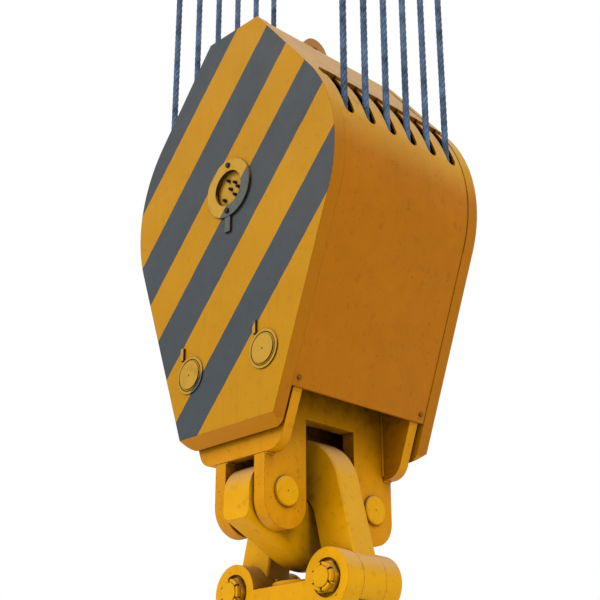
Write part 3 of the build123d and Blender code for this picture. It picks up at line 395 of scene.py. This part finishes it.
# ---------------------------------------------------------------- meshes
def mesh_piece(name, vertices, faces, material, body):
    """Object from vertex and face lists that rides on a body."""
    mesh = bpy.data.meshes.new(name)
    mesh.from_pydata([tuple(v) for v in vertices], [], faces)
    mesh.update()
    piece = bpy.data.objects.new(name, mesh)
    bpy.context.scene.collection.objects.link(piece)
    mesh.shade_smooth()
    dress(piece, material)
    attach(piece, body)
    return piece


def smooth_line(name, points):
    """Points of the NURBS curve that has these control points."""
    curve = bpy.data.curves.new(name, "CURVE")
    curve.dimensions = "3D"
    spline = curve.splines.new("NURBS")
    spline.points.add(len(points) - 1)
    for control, point in zip(spline.points, points):
        control.co = (*point, 1)
    spline.order_u = 3
    spline.use_endpoint_u = True
    spline.resolution_u = 24
    holder = bpy.data.objects.new(name, curve)
    mesh = bpy.data.meshes.new_from_object(holder)
    line = np.array([v.co for v in mesh.vertices], float)
    bpy.data.meshes.remove(mesh)
    bpy.data.objects.remove(holder)
    bpy.data.curves.remove(curve)
    return line


def evenly(line, step):
    """The same line with points about step apart."""
    along = np.concatenate([[0], np.cumsum(np.linalg.norm(np.diff(line, axis=0), axis=1))])
    at = np.linspace(0, along[-1], int(along[-1] / step) + 1)
    return np.stack([np.interp(at, along, line[:, k]) for k in range(3)], axis=1), at


def rope_route(y):
    """Control points of a rope that comes down, goes under its sheave and up again."""
    step = math.pi / ROPE_TURNS
    corner_r = ROPE_LINE_R / math.cos(step / 2)
    angles = [math.pi + step * (k + 0.5) for k in range(ROPE_TURNS)]
    corners = [(corner_r * math.cos(a), y, corner_r * math.sin(a)) for a in angles]
    return [(-ROPE_LINE_R, y, ROPE_TOP_Z), (-ROPE_LINE_R, y, RUN_POINT_Z), *corners,
            (ROPE_LINE_R, y, RUN_POINT_Z), (ROPE_LINE_R, y, ROPE_TOP_Z)]


def strand_radius(angle):
    """Distance from the rope's middle to the outside of its six strands, at an angle."""
    strand_r = ROPE_D / 6
    middle_r = ROPE_D / 2 - strand_r
    off = (angle + math.pi / STRANDS) % (2 * math.pi / STRANDS) - math.pi / STRANDS
    across = middle_r * math.sin(off)
    return middle_r * math.cos(off) + math.sqrt(max(strand_r ** 2 - across ** 2, 0.0))


def laid_rope(number, y):
    """Six-strand rope along its route, with closed ends and the lay wound round it."""
    line, at = evenly(smooth_line(f"rope_line_{number}", rope_route(y)), RING_STEP)
    ahead = np.gradient(line, axis=0)
    ahead /= np.linalg.norm(ahead, axis=1)[:, None]
    side = np.tile([0.0, 1.0, 0.0], (len(line), 1))
    out = np.cross(ahead, side)
    n = STRANDS * FACETS_PER_STRAND
    around = [2 * math.pi * k / n for k in range(n)]
    radii = [strand_radius(a) for a in around]
    vertices, faces = [], []
    for point, u, v, s in zip(line, side, out, at):
        lay = 2 * math.pi * s / LAY_LENGTH
        vertices += [point + r * (math.cos(a + lay) * u + math.sin(a + lay) * v)
                     for a, r in zip(around, radii)]
    for ring in range(len(line) - 1):
        for k in range(n):
            a, b = ring * n + k, ring * n + (k + 1) % n
            faces.append((a, a + n, b + n, b))
    faces.append(tuple(range(n)))
    faces.append(tuple(reversed(range((len(line) - 1) * n, len(line) * n))))
    rope = mesh_piece(f"laid_rope_{number}", vertices, faces, rope_steel, "root")
    lay_map = rope.data.uv_layers.new(name="lay")
    for polygon in rope.data.polygons:
        first = polygon.vertices[0] % n
        for corner, vertex in zip(polygon.loop_indices, polygon.vertices):
            column = vertex % n + (n if vertex % n < first and len(polygon.vertices) == 4 else 0)
            lay_map.data[corner].uv = (column * FACET_U, at[vertex // n] / BAND_LENGTH)
    return rope, line


def turned_rings(profile, segments):
    """Vertices and faces of a profile of (radius, height) turned about Z, closed at its ends."""
    vertices, faces = [], []
    for radius, height in profile:
        vertices += [(radius * math.cos(2 * math.pi * k / segments),
                      radius * math.sin(2 * math.pi * k / segments), height)
                     for k in range(segments)]
    for ring in range(len(profile) - 1):
        for k in range(segments):
            a, b = ring * segments + k, ring * segments + (k + 1) % segments
            faces.append((a, b, b + segments, a + segments))
    faces.append(tuple(reversed(range(segments))))
    faces.append(tuple(range((len(profile) - 1) * segments, len(profile) * segments)))
    return vertices, faces


def tube(points, radius, segments=10, closed=False):
    """Vertices and faces of a round bar along points."""
    points = [Vector(p) for p in points]
    vertices, faces = [], []
    count = len(points)
    side = None
    for k, point in enumerate(points):
        before = points[k - 1] if k or closed else point
        after = points[(k + 1) % count] if k < count - 1 or closed else point
        ahead = (after - before).normalized()
        if side is None:
            side = ahead.orthogonal().normalized()
        side = (side - ahead * side.dot(ahead)).normalized()
        other = ahead.cross(side)
        r = radius[k] if isinstance(radius, (list, tuple)) else radius
        vertices += [point + r * (math.cos(t) * side + math.sin(t) * other)
                     for t in (2 * math.pi * j / segments for j in range(segments))]
    for ring in range(count if closed else count - 1):
        for j in range(segments):
            a, b = ring * segments + j, ring * segments + (j + 1) % segments
            c, d = (a + segments) % (count * segments), (b + segments) % (count * segments)
            faces.append((a, b, d, c))
    if not closed:
        faces.append(tuple(reversed(range(segments))))
        faces.append(tuple(range((count - 1) * segments, count * segments)))
    return vertices, faces


def joined(parts):
    """One vertex and face list from several."""
    vertices, faces = [], []
    for some, their in parts:
        start = len(vertices)
        vertices += [tuple(v) for v in some]
        faces += [tuple(i + start for i in face) for face in their]
    return vertices, faces


def moved(part, offset):
    """A part's vertices moved by offset."""
    vertices, faces = part
    return [tuple(Vector(v) + Vector(offset)) for v in vertices], faces


# Closed spelter socket: a basket that swells upwards, a neck and a loop for the pin above
BASKET = [(0.021, -0.030), (0.027, -0.028), (0.029, -0.010), (0.033, 0.020), (0.041, 0.058),
          (0.045, 0.070), (0.045, 0.078), (0.040, 0.084), (0.012, 0.088)]


def socket_pair(number, y):
    """The two sockets of one rope."""
    loop = [(0.026 * math.cos(t), 0, 0.108 + 0.026 * math.sin(t))
            for t in (2 * math.pi * k / 24 for k in range(24))]
    one = joined([turned_rings(BASKET, 32), tube(loop, 0.0105, 12, closed=True)])
    both = joined([moved(one, (side * ROPE_LINE_R, y, ROPE_TOP_Z)) for side in (-1, 1)])
    pair = mesh_piece(f"spelter_sockets_{number}", *both, zinc_steel, "root")
    return pair


for number, y in enumerate(SHEAVE_Y, start=1):
    rope, line = laid_rope(number, y)
    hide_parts(f"rope_{number}")
    sockets = socket_pair(number, y)
    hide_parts("rope_sockets")


def weld_bead(name, runs, radius, body, material):
    """Fillet weld along straight runs, with the ripples that each stroke of the rod leaves."""
    ripple = 0.007
    parts = []
    for start, end in runs:
        start, end = Vector(start), Vector(end)
        count = max(4, int((end - start).length / (ripple / 3)))
        points = [start.lerp(end, k / count) for k in range(count + 1)]
        radii = [radius * (0.88 + 0.12 * abs(math.sin(math.pi * k / 3)))
                 * (0.55 if k in (0, count) else 1) for k in range(count + 1)]
        parts.append(tube(points, radii, 8))
    bead = mesh_piece(name, *joined(parts), material, body)
    return bead


WELD_R = 0.011
WELD_START_GAP, WELD_END_GAP = 0.02, 0.01
lug_low, lug_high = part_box("right_lug_plate")
hanger_low, hanger_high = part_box("front_hanger_plate")
weld_runs = []
for x in (lug_low.x, lug_high.x, -lug_low.x, -lug_high.x):
    for side in (-1, 1):
        inner_y = side * abs(hanger_high.y)
        weld_runs.append(((x, inner_y, hanger_low.z + WELD_START_GAP),
                          (x, inner_y, lug_high.z - WELD_END_GAP)))
        weld_runs.append(((x, inner_y, hanger_low.z), (x, side * abs(lug_low.y), hanger_low.z)))
weld_bead("lug_plate_welds", weld_runs, WELD_R, "root", plate_enamel)

# Split pins through the castle nuts, painted over with them
nut_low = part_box("castle_nuts")[0]
EYE_X, EYE_Z = 0.337, -2.087
PIN_LEAN = math.radians(150)
PIN_R, PIN_INSET = 0.0045, 0.010
pin_parts = []
for x in (-EYE_X, EYE_X):
    y = nut_low.y + PIN_INSET
    route = [(-0.082, 0.010, 0.000), (-0.076, 0.000, 0.000), (0.000, 0.000, 0.000),
             (0.074, 0.000, 0.000), (0.080, 0.004, 0.004), (0.083, 0.012, 0.012)]
    pin_parts.append(tube([(x + a * math.cos(PIN_LEAN) - c * math.sin(PIN_LEAN), y + b,
                            EYE_Z + a * math.sin(PIN_LEAN) + c * math.cos(PIN_LEAN))
                           for a, b, c in route], PIN_R, 8))
split_pins = mesh_piece("split_pins", *joined(pin_parts), cast_enamel, "hook_frame")

# Springs of the hook barrel, wound at rest length between its floor and the carrier; the real
# springs shorten as the hook goes down
BARREL_FLOOR_Z, CARRIER_LOW_Z = -2.960, -2.440
END_CLEARANCE = 0.0005
STEPS_PER_TURN = 36
# Radius of the wire, radius of the coil, number of turns
SPRINGS = {"outer_spring": (0.019, 0.180, 6), "inner_spring": (0.013, 0.122, 9)}
for name, (wire_r, coil_r, turns) in SPRINGS.items():
    end_gap = wire_r + END_CLEARANCE
    low, high = BARREL_FLOOR_Z + end_gap, CARRIER_LOW_Z - end_gap
    count = STEPS_PER_TURN * turns
    angles = [2 * math.pi * turns * k / count for k in range(count + 1)]
    coil = [(coil_r * math.cos(a), coil_r * math.sin(a), low + (high - low) * k / count)
            for k, a in enumerate(angles)]
    spring = mesh_piece(f"wound_{name}", *tube(coil, wire_r, 16), spring_steel, "hook_frame")
    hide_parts(name)
    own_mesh(spring)

# ---------------------------------------------------------------- room
FLOOR_GAP = 0.45
floor_size, floor_z = 60.0, cad_box[0].z - FLOOR_GAP
floor_mesh = bpy.data.meshes.new("floor")
floor_mesh.from_pydata([(-floor_size, -floor_size, floor_z), (floor_size, -floor_size, floor_z),
                        (floor_size, floor_size, floor_z), (-floor_size, floor_size, floor_z)],
                       [], [(0, 1, 2, 3)])
floor = bpy.data.objects.new("floor", floor_mesh)
bpy.context.scene.collection.objects.link(floor)
pale_floor, floor_tree, floor_shader = new_material("pale_painted_screed")
floor_where = node(floor_tree, "TexCoord").outputs["Object"]
floor_colour = mixed(floor_tree, noise(floor_tree, floor_where, 0.8, 3), "#E9E8E6", "#E1E0DD")
floor_tree.links.new(floor_colour, floor_shader.inputs["Base Color"])
floor_shader.inputs["Roughness"].default_value = 0.8
floor.data.materials.append(pale_floor)

place_camera()
place_sun("key_light", (-0.3, -0.8, 0.6), 1.6, 25)
place_sun("side_light", (0.72, -0.02, 0.72), 1.25, 30)
world = bpy.data.worlds.new("studio")
world.use_nodes = True
world_tree = world.node_tree
backdrop = world_tree.nodes["Background"]
seen = node(world_tree, "LightPath").outputs["Is Camera Ray"]
level = node(world_tree, "MapRange", {"Value": seen, "To Min": 0.6, "To Max": 1.0})
world_tree.links.new(level.outputs["Result"], backdrop.inputs["Strength"])
backdrop.inputs["Color"].default_value = (1, 1, 1, 1)
bpy.context.scene.world = world
bpy.context.scene.view_settings.view_transform = "Standard"
